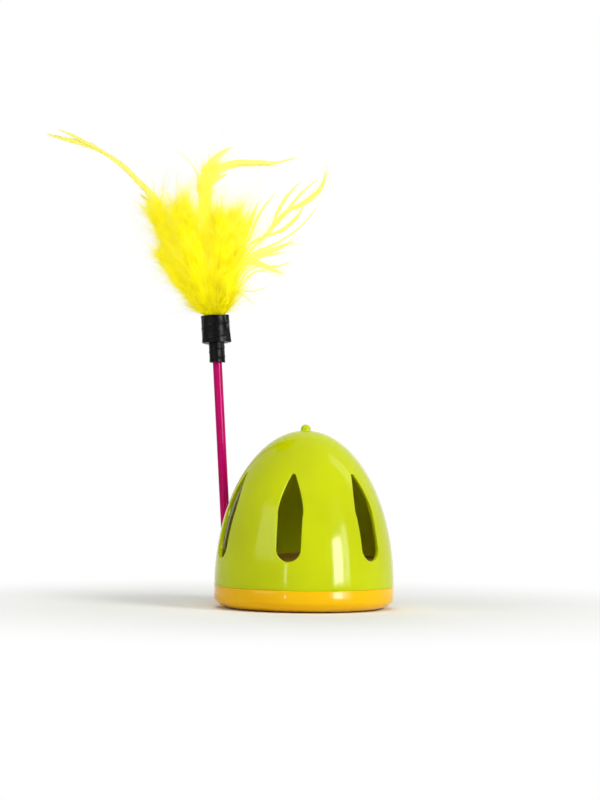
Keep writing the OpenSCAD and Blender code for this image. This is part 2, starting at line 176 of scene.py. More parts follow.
# Joins parts, each (points in mm, faces), into one object that stands for the replaced nodes. weld
# closes shells whose edges meet and turns their faces outward. Smooth shading stops at edges sharper
# than crease degrees.
def makePiece(name, parts, material, body, replaced, barbMap=None, weld=True, crease=40.0,
              smooth=True):
    start, points, faces = 0, [], []
    for partPoints, partFaces in parts:
        points.append(partPoints.reshape(-1, 3))
        faces += (partFaces + start).tolist()
        start += len(points[-1])
    points = np.concatenate(points) * mm
    mesh = bpy.data.meshes.new(name)
    mesh.from_pydata(points.tolist(), [], faces)
    if weld:
        shell = bmesh.new()
        shell.from_mesh(mesh)
        bmesh.ops.remove_doubles(shell, verts=shell.verts, dist=2e-6)
        bmesh.ops.recalc_face_normals(shell, faces=shell.faces)
        shell.to_mesh(mesh)
        shell.free()
    if barbMap is not None:
        layer = mesh.uv_layers.new(name="BarbMap")
        corners = np.zeros(len(mesh.loops), np.int32)
        mesh.loops.foreach_get("vertex_index", corners)
        layer.data.foreach_set("uv", barbMap[corners].astype(np.float32).ravel())
    mesh.polygons.foreach_set("use_smooth", np.full(len(mesh.polygons), smooth))
    if crease:
        mesh.set_sharp_from_angle(angle=math.radians(crease))
    mesh.materials.append(material)
    piece = bpy.data.objects.new(name, mesh)
    scene.collection.objects.link(piece)
    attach(piece, body)
    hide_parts(*replaced)
    print(f"{name}: {len(mesh.polygons)} faces")


def revolved(profile, angles):  # a profile of (radius, height) carried round Z, at angles in radians
    r, z = profile[:, 0][:, None], profile[:, 1][:, None]
    return np.stack([r * np.sin(angles), -r * np.cos(angles), z + 0 * angles], -1)


def fullTurn(count):  # count angles round a circle, from 0
    return np.linspace(0, 2 * np.pi, count + 1)[:-1]


def ovalArc(right, up, width, tall, turn):  # points of an oval about (right, up) at the angles turn
    return np.stack([right + width * np.cos(turn), up + tall * np.sin(turn)], 1)


def turned(points, angle):  # points turned about Z by an angle in radians
    c, s = math.cos(angle), math.sin(angle)
    return points @ np.array([[c, s, 0], [-s, c, 0], [0, 0, 1]])


seamHeight = 8.2  # mm, where the dome meets the base

domeLook = {
    "radius": 33.2, "height": 57.5, "wall": 1.6, "lip": 0.4, "seamGroove": 0.25,
    "capFrom": 46.5, "outerRows": 14, "lipRows": 5, "innerRows": 10,
    "slotCount": 6, "slotWidth": 9.2, "slotFoot": 10.4, "slotShoulder": 27.4,
    "slotTip": 42.0, "tipRadius": 0.95, "step": 0.2, "taper": 1.6,
    "nubRadius": 1.85, "nubHeight": 2.25, "nubFoot": 2.4,
    "nubFillet": [(0.27, -0.09), (0.1, 0.01), (0.02, 0.12)],  # outward from the nub, up from the dome
}


# Right half of a slot's outline from its lowest point to its tip: a half circle, a straight side, a
# small step inward, then x = tip radius + (side - tip radius)(1 - t^taper), and the tip's arc.
# Returns the points, the outward normals and, for each point, its place on the border.
def slotHalf(look):
    half, tipR = look["slotWidth"] / 2, look["tipRadius"]
    centre, tipCentre = look["slotFoot"] + half, look["slotTip"] - tipR
    foot = ovalArc(0, centre, half, half, np.linspace(-np.pi / 2, 0, 19))
    stepFoot = look["slotShoulder"] - 3 * look["step"]
    side = np.stack([np.full(9, half), np.linspace(centre, stepFoot, 10)[1:]], 1)
    t = np.linspace(0, 1, 26)
    taper = np.stack([tipR + (half + look["step"] - tipR) * (1 - t ** look["taper"]),
                      look["slotShoulder"] + (tipCentre - look["slotShoulder"]) * t], 1)
    tip = ovalArc(0, tipCentre, tipR, tipR, np.linspace(0, np.pi / 2, 9)[1:])
    line = np.concatenate([foot, side, taper, tip])
    run = np.gradient(line, axis=0)
    run[0], run[-1] = (1, 0), (-1, 0)
    normal = np.stack([run[:, 1], -run[:, 0]], 1)
    normal /= np.linalg.norm(normal, axis=1)[:, None]
    bottom, top = 13, len(line) - 9  # the corners of the border lie opposite these points
    wide = np.pi / look["slotCount"]
    heights = (line[:, 1] - line[bottom, 1]) / (line[top, 1] - line[bottom, 1])
    border = np.zeros_like(line)
    n = np.arange(len(line))
    last = len(line) - 1
    border[:, 0] = np.clip(np.minimum(n / bottom, (last - n) / (last - top)), 0, 1) * wide
    border[:, 1] = look["seamGroove"] + np.clip(heights, 0, 1) * (look["capFrom"] - look["seamGroove"])
    return line, normal, border, bottom, top


def loopOf(half, mirror):  # closes a right half with its mirror image, mirror being each column's sign
    return np.concatenate([half, half[-2:0:-1] * mirror])


# The point of the egg at sideways place x and height h, moved inward by inset along the normal
# (x/r^2, y/r^2, h/H^2).
def onEgg(x, h, look, inset=0.0):
    r, tall = look["radius"], look["height"]
    y = -np.sqrt(np.maximum(r * r * (1 - (h / tall) ** 2) - x * x, 0))
    point = np.stack([x, y, h], -1)
    normal = point / np.array([r * r, r * r, tall * tall])
    normal /= np.linalg.norm(normal, axis=-1)[..., None]
    return point - normal * inset


def aroundEgg(angle, h, look):  # the point of the egg at an angle round Z and height h
    r = look["radius"] * np.sqrt(np.maximum(1 - (h / look["height"]) ** 2, 0))
    return np.stack([r * np.sin(angle), -r * np.cos(angle), h], -1)


# Each sixth of the dome is a loop of points round one slot, carried from the sixth's border in to the
# slot's edge, over a rounded lip, through the wall and back out on the inner face. A cap with the
# nub, an inner cap and a strip under the wall close the shell.
def domeParts(look):
    inner = dict(look, radius=look["radius"] - look["wall"], height=look["height"] - look["wall"])
    line, normal, border, bottom, top = slotHalf(look)
    line, normal = loopOf(line, [-1, 1]), loopOf(normal, [-1, 1])
    border = loopOf(border, [-1, 1])
    x, h, lip = line[:, 0], line[:, 1], look["lip"]

    def faceRows(egg, count, edge):  # rows from the border to the slot's edge, closer near the edge
        share = 1 - (1 - np.linspace(0, 1, count)) ** 1.5
        ex, eh = x + normal[:, 0] * edge, h + normal[:, 1] * edge
        radius = egg["radius"] * np.sqrt(1 - (eh / egg["height"]) ** 2)
        edgeAngle = np.arcsin(ex / radius)
        angle = border[:, 0] + (edgeAngle - border[:, 0]) * share[:, None]
        height = border[:, 1] + (eh - border[:, 1]) * share[:, None]
        return aroundEgg(angle, height, egg)

    def lipRows(egg, direction, count):  # a quarter round from the face to the wall of the slot
        rows = []
        for a in np.linspace(0, np.pi / 2, count)[1:]:
            out = lip * (1 - math.sin(a))
            rows.append(onEgg(x + normal[:, 0] * out, h + normal[:, 1] * out, egg,
                              direction * lip * (1 - math.cos(a))))
        return np.stack(rows)

    outside = faceRows(look, look["outerRows"], lip)
    inside = faceRows(inner, look["innerRows"], lip)[::-1]
    rows = np.concatenate([outside, lipRows(look, 1, look["lipRows"]),
                           lipRows(inner, -1, look["lipRows"])[::-1], inside])
    faces = gridFaces(len(rows), rows.shape[1])
    wide = 2 * np.pi / look["slotCount"]
    parts = [(turned(rows, wide * k), faces) for k in range(look["slotCount"])]

    half = border[:len(border) // 2 + 1]
    def allRound(angles):  # the border's angles of one sixth, mirrored and repeated round the dome
        one = np.concatenate([-angles[:0:-1], angles[:-1]])
        return np.concatenate([one + wide * k for k in range(look["slotCount"])])

    topAngles = allRound(half[top:, 0][::-1])
    lowAngles = allRound(half[:bottom + 1, 0])
    radius, height, nubR = look["radius"], look["height"], look["nubRadius"]
    rise = np.linspace(math.asin(look["capFrom"] / height), math.acos(look["nubFoot"] / radius), 16)
    cap = ovalArc(0, 0, radius, height, rise)
    fillet = np.array(look["nubFillet"]) + [nubR, height]
    ball = ovalArc(0, height + look["nubHeight"] - nubR, nubR, nubR, np.radians(np.linspace(-5, 90, 12)))
    profile = np.concatenate([cap, fillet, ball])
    parts.append((revolved(profile, topAngles), gridFaces(len(profile), len(topAngles))))
    rise = np.linspace(math.asin(look["capFrom"] / inner["height"]), np.pi / 2, 12)
    profile = ovalArc(0, 0, inner["radius"], inner["height"], rise)
    parts.append((revolved(profile, topAngles), gridFaces(len(profile), len(topAngles))))
    groove = look["seamGroove"]
    outR = radius * math.sqrt(1 - (groove / height) ** 2)
    inR = inner["radius"] * math.sqrt(1 - (groove / inner["height"]) ** 2)
    profile = np.array([(outR, groove), (outR - 0.06, groove * 0.4), (outR - 0.2, 0.0), (inR + 0.1, 0.0),
                        (inR, groove)])
    parts.append((revolved(profile, lowAngles), gridFaces(len(profile), len(lowAngles))))
    return [(points + [0, 0, seamHeight], faces) for points, faces in parts]


makePiece("domeShell", domeParts(domeLook), limePlastic, "shell", ["dome_shell"],
          crease=60)

baseLook = {
    "radius": 33.2, "flat": 25.2, "roundHeight": 4.0, "wall": 1.8, "floor": 2.0, "groove": 0.25,
    "screwRing": 18.0, "screwCount": 3, "recess": 2.65, "recessDepth": 2.1, "bevel": 0.15,
    "hole": 1.4, "pillar": 4.09, "pillarTop": 4.1,
}


# The floor is three wedges. Each is a loop of points carried from the wedge's border in to the
# screw's recess, up its wall, through the pillar and back out on the inner floor. The rounded edge
# and the rim are one profile carried round.
def baseParts(look):
    wide = np.pi / look["screwCount"]
    arc = np.linspace(0, wide, 29)
    arcLine = look["flat"] * np.stack([np.cos(arc), np.sin(arc)], 1)
    edge = arcLine[-1] * np.linspace(1, 0, 12)[1:, None]
    border = loopOf(np.concatenate([arcLine, edge]), [1, -1])
    centre = np.array([look["screwRing"], 0.0])
    away = border - centre
    away /= np.linalg.norm(away, axis=1)[:, None]

    def ring(radius, z):  # a circle round the screw at height z
        flat = centre + away * radius
        return np.concatenate([flat, np.full((len(flat), 1), z)], 1)

    def between(radius, z, shares):  # rows from the border (share 0) to a circle round the screw (1)
        step, level = centre + away * radius - border, np.full((len(border), 1), z)
        return [np.concatenate([border + step * s, level], 1) for s in shares]

    steps = np.linspace(0, 1, 7)
    recess, bevel, hole = look["recess"], look["bevel"], look["hole"]
    deep, top = look["recessDepth"], look["pillarTop"]
    rows = between(recess + bevel, 0.0, steps)
    rows += [ring(recess, bevel), ring(recess, deep), ring(hole, deep), ring(hole, top),
             ring(look["pillar"], top)]
    rows += between(look["pillar"], look["floor"], steps[::-1])
    rows = np.stack(rows)
    faces = gridFaces(len(rows), rows.shape[1])
    parts = [(turned(rows, np.pi / 2 + 2 * wide * k), faces) for k in range(look["screwCount"])]

    turn = np.linspace(0, np.pi / 2, 14)
    swell, groove, rimTop = look["radius"] - look["flat"], look["groove"], seamHeight
    outer = np.stack([look["flat"] + swell * np.sin(turn), look["roundHeight"] * (1 - np.cos(turn))], 1)
    innerWidth, innerHeight = swell - look["wall"], look["roundHeight"] + 0.3 * look["floor"]
    inner = np.stack([look["flat"] + innerWidth * np.sin(turn),
                      look["floor"] + innerHeight * (1 - np.cos(turn))], 1)
    r = look["radius"]
    rim = [(r, rimTop - groove), (r - 0.07, rimTop - 0.08), (r - 0.22, rimTop),
           (r - look["wall"], rimTop)]
    profile = np.concatenate([outer, rim, inner[::-1]])
    one = np.concatenate([-arc[:0:-1], arc[:-1]])
    angles = np.concatenate([one + 2 * wide * k for k in range(look["screwCount"])]) + np.pi
    parts.append((revolved(profile, angles), gridFaces(len(profile), len(angles))))
    return parts


makePiece("baseBowl", baseParts(baseLook), amberPlastic, "shell", ["base_bowl"],
          crease=50)

wandLook = {
    "ring": 36.6, "side": -118.0, "lean": 4.6, "rod": 1.75, "rodLength": 102.2, "rodEnd": 0.3,
    "rodBevel": 0.4, "socketDepth": 8.4, "socketTop": 5.8, "socketWall": 2.0, "socketFoot": -1.6,
    "webTop": 1.9, "webHalf": 0.7, "fit": 0.08, "gap": 0.3, "sink": 0.9,
    "wideRadius": 5.5, "wideLength": 10.4, "narrowRadius": 3.05, "narrowLength": 7.4, "wrapOver": 0.86,
    "sprayTurn": 11.4,
}
# rodPlace stands on the socket's floor, its Z up the rod. sprayPlace is the wide wrap's mouth, turned
# so that its -Y faces the camera.
socketFloor = wandLook["socketTop"] - wandLook["socketDepth"]
mouth = wandLook["rodEnd"] + wandLook["rodLength"] + wandLook["wrapOver"]
rodPlace = (Matrix.Translation((0, 0, seamHeight))
            @ Matrix.Rotation(math.radians(wandLook["side"]), 4, "Z")
            @ Matrix.Translation((0, -wandLook["ring"], 0))
            @ Matrix.Rotation(math.radians(wandLook["lean"]), 4, "X")
            @ Matrix.Translation((0, 0, socketFloor)))
frontTurn = math.radians(wandLook["sprayTurn"] - wandLook["side"])
sprayPlace = rodPlace @ Matrix.Translation((0, 0, mouth)) @ Matrix.Rotation(frontTurn, 4, "Z")


def placed(points, place):  # points moved by a 4x4 matrix
    m = np.array(place)
    return points @ m[:3, :3].T + m[:3, 3]


# A tube round the rod with a cone foot and a rounded mouth. Its foot is squared off towards the rim:
# x is at least webHalf of the outer radius there. Where the tube would pass into the dome or through
# the rim's wall, its points are pushed out to a clearance from the toy's axis.
def socketParts(look):
    bore = look["rod"] + look["fit"]
    outer, foot, depth = bore + look["socketWall"], look["socketFoot"], look["socketDepth"]
    around = fullTurn(72)
    lipR = look["socketWall"] / 2
    lip = ovalArc(bore + lipR, depth - lipR * 0.6, lipR, 0.6 * lipR, np.linspace(0, np.pi, 9))
    outside = np.stack([np.full(24, outer), np.linspace(foot + 1.4, depth - lipR * 0.7, 24)], 1)
    inside = np.stack([np.full(4, bore), np.linspace(depth - 1.2, 0, 4)], 1)
    profile = np.concatenate([[(0.0, foot), (outer - 1.0, foot), (outer, foot + 1.0)], outside, lip,
                              inside, [(0.0, 0.0)]])
    tube = revolved(profile, around)
    x, radius, up = tube[..., 0], profile[:, 0][:, None], profile[:, 1][:, None]
    web = ((tube[..., 1] > 0.5) & (up < look["webTop"]) & (radius > bore + 0.1)
           & (np.abs(x) < outer * 0.999))
    tube[..., 0] = np.where(web, np.sign(x) * np.maximum(np.abs(x), look["webHalf"] * outer), x)
    world = placed(tube.reshape(-1, 3), rodPlace).reshape(tube.shape)
    reach = np.linalg.norm(world[..., :2], axis=-1)
    limit = np.where(world[..., 2] > seamHeight - look["gap"], baseLook["radius"] + look["gap"],
                     baseLook["radius"] - look["sink"])
    world[..., :2] *= np.maximum(limit / reach, 1)[..., None]
    return [(world, gridFaces(len(profile), len(around)))]


makePiece("wandSocket", socketParts(wandLook), amberPlastic, "shell", ["base_bowl"])


# A drawn rod: a rounded end, a straight run, a rounded end, carried round.
def rodParts(look):
    r, low, high = look["rod"], look["rodEnd"], look["rodEnd"] + look["rodLength"]
    turn = np.linspace(0, np.pi / 2, 6)
    bevel = look["rodBevel"]
    start = np.stack([r - bevel + bevel * np.sin(turn), low + bevel * (1 - np.cos(turn))], 1)
    z = np.linspace(low + bevel, high - bevel, 60)[1:-1]
    middle = np.stack([np.full(58, r), z], 1)
    end = start[::-1] * [1, -1] + [0, low + high]
    profile = np.concatenate([[(0.0, low)], start, middle, end, [(0.0, high)]])
    around = fullTurn(64)
    points = placed(revolved(profile, around).reshape(-1, 3), rodPlace)
    return [(points, gridFaces(len(profile), len(around)))]


makePiece("wandRod", rodParts(wandLook), magentaPlastic, "wand", ["wand_rod"])

wrapLook = {
    "bore": 1.8, "slack": 0.955, "limit": 1.06,  # bore in mm, the others as shares of the radius
    "turns": 2.2, "tapeStep": 0.16, "wave": 0.09, "waver": 0.14, "flareWidth": 0.5,
    # folds: slant, place round the wrap from the side that faces the camera, height, width
    "wideFolds": [(-0.55, 1.35, 0.28, 0.07), (0.5, 0.75, 0.16, 0.09), (0.15, 2.3, 0.2, 0.1),
                  (-0.3, 3.9, 0.22, 0.08), (0.4, 5.1, 0.18, 0.1)],
    "narrowFolds": [(-0.25, 1.15, 0.16, 0.1), (0.2, 2.6, 0.12, 0.12), (-0.2, 4.3, 0.14, 0.1)],
    "wideFlare": (1.3, 0.35), "narrowFlare": (2.0, 0.1),  # place round the wrap, height
}


# Turns of tape round the rod. Radius = base + a spiral step at each turn's edge + folds, which are
# sharp ridges that run up at a slant + waves + a flare at the foot's corner, held below a limit.
# Both rims waver and turn inward.
def wrapParts(look, radius, length, top, folds, flare, seed):
    noise = np.random.default_rng(seed)
    around = fullTurn(144)
    up = np.linspace(0, 1, 49)[:, None]
    r = radius * (look["slack"] + 0 * up + 0 * around)
    turnEdge = (up * look["turns"] - around / (2 * np.pi)) % 1
    r = r + look["tapeStep"] * np.exp(-turnEdge * 9)
    for slant, place, height, width in folds:
        off = (around - (place + frontTurn) - slant * up + np.pi) % (2 * np.pi) - np.pi
        r = r + height * np.exp(-(off / width) ** 2)
    for k in range(2, 7):
        phase, drift = noise.uniform(0, 6.3), noise.uniform(-2, 2)
        r = r + look["wave"] / k * np.sin(k * around + phase + up * drift)
    place, amount = flare
    off = (around - (place + frontTurn) + np.pi) % (2 * np.pi) - np.pi
    r = r + amount * np.exp(-(off / look["flareWidth"]) ** 2) * (1 - up) ** 2
    r = np.minimum(r, radius * look["limit"])
    waver = sum(look["waver"] / k * np.sin(k * around + noise.uniform(0, 6.3)) for k in (1, 2, 3, 5))
    z = up * length + waver * (2 * up - 1)
    sheet = np.stack([r * np.sin(around), -r * np.cos(around), z + 0 * around], -1)

    def rim(ring, steps):  # copies of a ring, each narrowed to a share and moved up by a lift
        rows = []
        for share, lift in steps:
            share = share + 0 * around
            rows.append(ring * np.stack([share, share, np.ones_like(share)], -1) + [0, 0, lift])
        return np.stack(rows)

    lower = rim(sheet[0], [(look["bore"] / r[0], 0.1), (0.9, -0.03), (0.985, -0.03)])
    upper = rim(sheet[-1], [(0.985, 0.05), (0.9, -0.05), (look["bore"] / r[-1], -0.4)])
    grid = np.concatenate([lower, sheet, upper, lower[:1]])  # the last row closes it through the bore
    world = placed((grid + [0, 0, top - length]).reshape(-1, 3), rodPlace)
    return [(world, gridFaces(len(grid), len(around)))]


for size, top, seed in (("wide", mouth, 3), ("narrow", mouth - wandLook["wideLength"], 5)):
    parts = wrapParts(wrapLook, wandLook[size + "Radius"], wandLook[size + "Length"], top,
                      wrapLook[size + "Folds"], wrapLook[size + "Flare"], seed)
    makePiece(size + "Wrap", parts, blackTape, "wand", [size + "_wrap"])

feathersLook = {
    "quillRing": 2.9, "quillDepth": 8.5, "places": 13,  # the quills in the wrap, as in the CAD
    "quill": 0.42, "body": 0.8, "reach": 0.88, "segments": 3,
    "coatCount": 4300, "coatLength": 7.6, "coatOpen": 21, "coatThick": 0.08, "coatWild": 0.09,
    "wispCount": 1000, "wispLength": 11.0, "wispOpen": 38, "wispThick": 0.038, "wispWild": 0.2,
    "tufted": 0.26, "tuftRows": 34, "tuftsRound": 16, "tuftTable": 640,  # barbs of one tuft lean alike
    # barbs start dark at the wrap and brighten up the plume: painted shade
    "rootShadeTone": 0.3, "shadeRise": 2.4,
}
hackleLook = {
    "quill": 0.4, "barbOpen": 16, "barbLength": 4.0, "barbThick": 0.06,
    "webHalf": [0.2, 0.2], "webOpen": 34, "webLength": 11.0, "webThick": 0.03,
}


def alongRoute(points, share):  # Catmull-Rom curve through the points, at shares 0 to 1 of its run
    n = len(points) - 1
    k = np.minimum((share * n).astype(int), n - 1)
    t = (share * n - k)[:, None]
    a, b = points[np.maximum(k - 1, 0)], points[k]
    c, d = points[k + 1], points[np.minimum(k + 2, n)]
    return 0.5 * (2 * b + (c - a) * t + (2 * a - 5 * b + 4 * c - d) * t ** 2
                  + (3 * b - a - 3 * c + d) * t ** 3)


def unit(vectors):  # each vector divided by its length
    return vectors / np.linalg.norm(vectors, axis=-1)[..., None]


def routeFrame(points, share):  # position, heading, sideways and depth directions at each share
    centre = alongRoute(points, share)
    ahead, behind = np.minimum(share + 0.01, 1), np.maximum(share - 0.01, 0)
    heading = unit(alongRoute(points, ahead) - alongRoute(points, behind))
    wide = unit(np.cross(heading, [0.0, 1.0, 0.0]))
    return centre, heading, wide, np.cross(wide, heading)


def closedTube(rings, along, tone):  # a tube of rings closed by a point at each end, with its BarbMap
    ends = [np.repeat(rings[k].mean(0)[None], rings.shape[1], 0)[None] for k in (0, -1)]
    rings = np.concatenate([ends[0], rings, ends[1]])
    quads = gridFaces(len(rings), rings.shape[1])
    faces = np.concatenate([quads[:, [0, 1, 2]], quads[:, [0, 2, 3]]])
    barbMap = [np.concatenate([part[:1], part, part[-1:]]).reshape(-1) for part in (along, tone)]
    return rings.reshape(-1, 3), faces, np.stack(barbMap, 1)


# Each barb is a three-sided spike: its middle line is base + length (lean u + bend u^2), and its
# radius falls as (1 - u)^0.6 to a point. All barbs of a piece are worked out at once.
def barbMesh(base, lean, bend, length, radius, tone):
    segments = feathersLook["segments"]
    u = np.linspace(0, 1, segments + 1)[None, :, None]
    middle = base[:, None] + length[:, None, None] * (lean[:, None] * u + bend[:, None] * u ** 2)
    run = unit(lean[:, None] + 2 * bend[:, None] * u)
    sideways = unit(np.cross(run, np.array([0.31, 0.87, 0.39])))  # any direction off the barb's serves
    other = np.cross(run, sideways)
    r = radius[:, None, None] * (1 - u[:, :-1]) ** 0.6
    rings = [middle[:, :-1] + r * (math.cos(a) * sideways[:, :-1] + math.sin(a) * other[:, :-1])
             for a in np.radians([0, 120, 240])]
    rings = np.stack(rings, 2).reshape(len(base), -1, 3)  # ring by ring, three points each
    points = np.concatenate([rings, middle[:, -1:]], 1)
    faces = [(0, 2, 1)]
    for k in range(segments - 1):
        for j in range(3):
            a, b = 3 * k + j, 3 * k + (j + 1) % 3
            faces += [(a, b, b + 3), (a, b + 3, a + 3)]
    last = 3 * (segments - 1)
    faces += [(last + j, last + (j + 1) % 3, last + 3) for j in range(3)]
    count = points.shape[1]
    faces = (np.array(faces)[None] + (np.arange(len(base)) * count)[:, None, None]).reshape(-1, 3)
    along = np.concatenate([np.repeat(u[0, :-1, 0], 3), [1.0]])
    shape = (len(base), count)
    barbMap = np.stack([np.broadcast_to(along, shape), np.broadcast_to(tone[:, None], shape)], -1)
    return points.reshape(-1, 3), faces, barbMap.reshape(-1, 2)


def featherRoute(place, route):  # the route with its quill inside the wrap
    turn = 2 * np.pi * place / feathersLook["places"]
    foot = np.array([math.cos(turn), math.sin(turn), 0.0]) * feathersLook["quillRing"]
    return np.concatenate([[foot - [0, 0, feathersLook["quillDepth"]], foot], np.array(route, float)])


def quillMesh(points, radius):  # the rachis: a tube along the route that thins as (1 - s)^0.7
    share = np.linspace(0, 0.97, 30)
    centre, _, wide, deep = routeFrame(points, share)
    around = fullTurn(6)[None, :, None]
    r = (radius * (0.12 + 0.88 * (1 - share) ** 0.7))[:, None, None]
    rings = centre[:, None] + r * (np.cos(around) * wide[:, None] + np.sin(around) * deep[:, None])
    return closedTube(rings, np.full(rings.shape[:2], 0.2), np.full(rings.shape[:2], 0.3))


def swell(t, peak):  # share of its full width that a plume has at share t above the wrap
    return np.sin(np.pi * (0.055 + 0.925 * np.clip(t, 0, 1) ** peak)) ** 0.62


# Massed down of a plume: an oval section along the route, its radius times 1 + ridges, which are
# sines round the section that drift along it as combed barbs do, + tufts, a slow sine along it.
def plumeBody(points, look):
    first = 1 / (len(points) - 1)
    share = np.linspace(first * 0.9, first + (1 - first) * look["reach"], 46)
    t = (share - first) / (1 - first)
    centre, _, wide, deep = routeFrame(points, share)
    around = fullTurn(40)
    ridges = 0
    for k in (2, 3, 5, 8, 13, 17):
        strength, phase, drift = rng.uniform(0.5, 1) / k ** 0.5, rng.uniform(0, 6.3), rng.uniform(-2, 2)
        ridges = ridges + strength * np.sin(k * around + phase + drift * k * t[:, None])
    tufts = np.sin(38 * t[:, None] + 2.2 * np.sin(3 * around) + 1.4 * np.sin(5 * around))
    grow = look["body"] * (1 + 0.07 * ridges + 0.05 * tufts) * swell(t, look["peak"])[:, None]
    rings = (centre[:, None] + (grow * np.cos(around) * look["wide"])[..., None] * wide[:, None]
             + (grow * np.sin(around) * look["deep"])[..., None] * deep[:, None])
    # The body's tone is held low, lowest near the wrap: painted shade in the gaps between the barbs.
    tone = np.clip((0.25 + 0.15 * ridges + 0.05 * tufts) * (0.6 + 0.8 * t[:, None]), 0.0, 0.7)
    return closedTube(rings, 0.5 * tone + 0.45 * t[:, None], np.clip(tone + 0.25 * t[:, None], 0, 1))


# Barbs on the body's skin, of the kind coat or wisp: they lean from the heading by the open angle, the
# ones in a tuft the same way, and lie wider just above the wrap, where the binding lets them go.
# Tone = (random + its tuft's mottle) x a rise from the plume's root, held below a limit near there:
# painted shade, darker near the wrap.
def plumeBarbs(points, look, kind):
    count, wild = look[kind + "Count"], look[kind + "Wild"]
    first = 1 / (len(points) - 1)
    t = 0.015 + (look["reach"] - 0.02) * rng.random(count) ** 0.95
    share = first + (1 - first) * t
    centre, heading, wide, deep = routeFrame(points, share)
    side = rng.uniform(0, 2 * np.pi, count)
    grow = swell(t, look["peak"])
    a, b = look["wide"] * grow, look["deep"] * grow
    sunk = look["body"] * rng.uniform(0.8, 0.98, count)[:, None]
    base = centre + sunk * ((a * np.cos(side))[:, None] * wide + (b * np.sin(side))[:, None] * deep)
    out = unit(wide * (np.cos(side) / a)[:, None] + deep * (np.sin(side) / b)[:, None])
    perRow = look["tuftsRound"]  # 6.2832 is a hair over a full turn, so a row's last tuft is never passed
    patch = np.floor(t * look["tuftRows"]) * perRow + np.floor(side * perRow / 6.2832)
    tuft = rng.normal(0, 1, (look["tuftTable"], 3))[patch.astype(int)]
    turn = np.radians(look[kind + "Open"] * rng.uniform(0.3, 1.5, count) * (1.15 - 0.6 * t)
                      + 24 * np.exp(-t / 0.05))
    lean = unit(heading * np.cos(turn)[:, None] + out * np.sin(turn)[:, None] + look["tufted"] * tuft
                + wild * rng.normal(0, 1, (count, 3)))
    lean[:, 2] = np.maximum(lean[:, 2], 0.15)  # none hangs down over the wrap
    bend = (out * rng.normal(0.02, 0.16, count)[:, None] + heading * 0.12 + 0.05 * tuft
            + 1.3 * wild * rng.normal(0, 1, (count, 3)))
    size = (look[kind + "Length"] * (0.4 + 0.95 * rng.random(count) ** 1.3) * (0.75 + 0.3 * t)
            * np.clip(1 + 0.35 * tuft[:, 0], 0.5, 1.8))
    mottle = tuft[:, 1] * (1 - 0.75 * t)
    rise = np.minimum(look["rootShadeTone"] + look["shadeRise"] * t, 1)
    tone = (rng.random(count) ** 0.8 + 0.5 * mottle) * rise
    tone = np.clip(tone, 0, np.minimum(0.66 + 0.5 * t, 1))
    radius = look[kind + "Thick"] * rng.uniform(0.6, 1.25, count)
    points, faces, barbMap = barbMesh(base, lean, bend, size, radius, tone)
    # barbs near the plume's tip are bright from their roots on, while lower barbs keep dark roots:
    # painted shade
    start = np.repeat(np.clip(0.06 + 0.52 * t + 0.14 * mottle, 0, 0.9), len(barbMap) // count)
    barbMap[:, 0] = start + (1 - start) * barbMap[:, 0]
    return points, faces, barbMap


# A strand of a hackle's vane: a thin lens section along its route, its half-width read along the
# list half, with both edges ruffled by two sines.
def strandMesh(points, half):
    share = np.linspace(0, 1, 34)
    centre, _, wide, deep = routeFrame(points, share)
    width = np.interp(share, np.linspace(0, 1, len(half)), half)
    around = fullTurn(8)
    ruffle = (1 + 0.1 * np.sin(share[:, None] * 41 + 2 * np.cos(around))
              + 0.06 * np.sin(share[:, None] * 97 + around))
    turn = rng.uniform(-0.5, 0.5) + rng.uniform(-0.4, 0.4) * share
    wide, deep = [wide * np.cos(turn)[:, None] + deep * np.sin(turn)[:, None],
                  deep * np.cos(turn)[:, None] - wide * np.sin(turn)[:, None]]
    rings = (centre[:, None] + (width[:, None] * ruffle * np.cos(around))[..., None] * wide[:, None]
             + (0.3 * width[:, None] * np.sin(around))[..., None] * deep[:, None])
    tone = np.clip(0.6 + 0.1 * np.sin(share[:, None] * 63) + 0.2 * np.abs(np.cos(around)), 0, 1)
    return closedTube(rings, np.repeat(0.6 + 0.2 * share[:, None], len(around), 1), tone)


def strandBarbs(points, half, count, angle, length, thick):  # fine barbs that leave a strand's two edges
    t = rng.random(count) ** 0.9 * 0.97
    centre, heading, wide, deep = routeFrame(points, t)
    width = np.interp(t, np.linspace(0, 1, len(half)), half)
    side = np.where(rng.random(count) < 0.5, -1.0, 1.0)
    turn = np.radians(angle * rng.uniform(0.5, 1.3, count))
    lean = unit(heading * np.cos(turn)[:, None] + wide * (side * np.sin(turn))[:, None]
                + deep * rng.normal(0, 0.08, count)[:, None])
    base = centre + wide * (side * width * 0.6)[:, None]
    bend = -0.12 * wide * side[:, None] + 0.05 * rng.normal(0, 1, (count, 3))
    size = length * rng.uniform(0.5, 1.2, count) * (1.1 - 0.6 * t)
    points, faces, barbMap = barbMesh(base, lean, bend, size, thick * rng.uniform(0.7, 1.2, count),
                                      rng.uniform(0.75, 1, count))
    barbMap[:, 0] = 0.5 + 0.5 * barbMap[:, 0]
    return points, faces, barbMap


backPlume = {  # what the two plumes behind share
    "wide": 5.2, "deep": 3.0, "peak": 0.9, "coatLength": 5.6, "coatOpen": 15, "wispLength": 6.5,
    "wispOpen": 26,
}
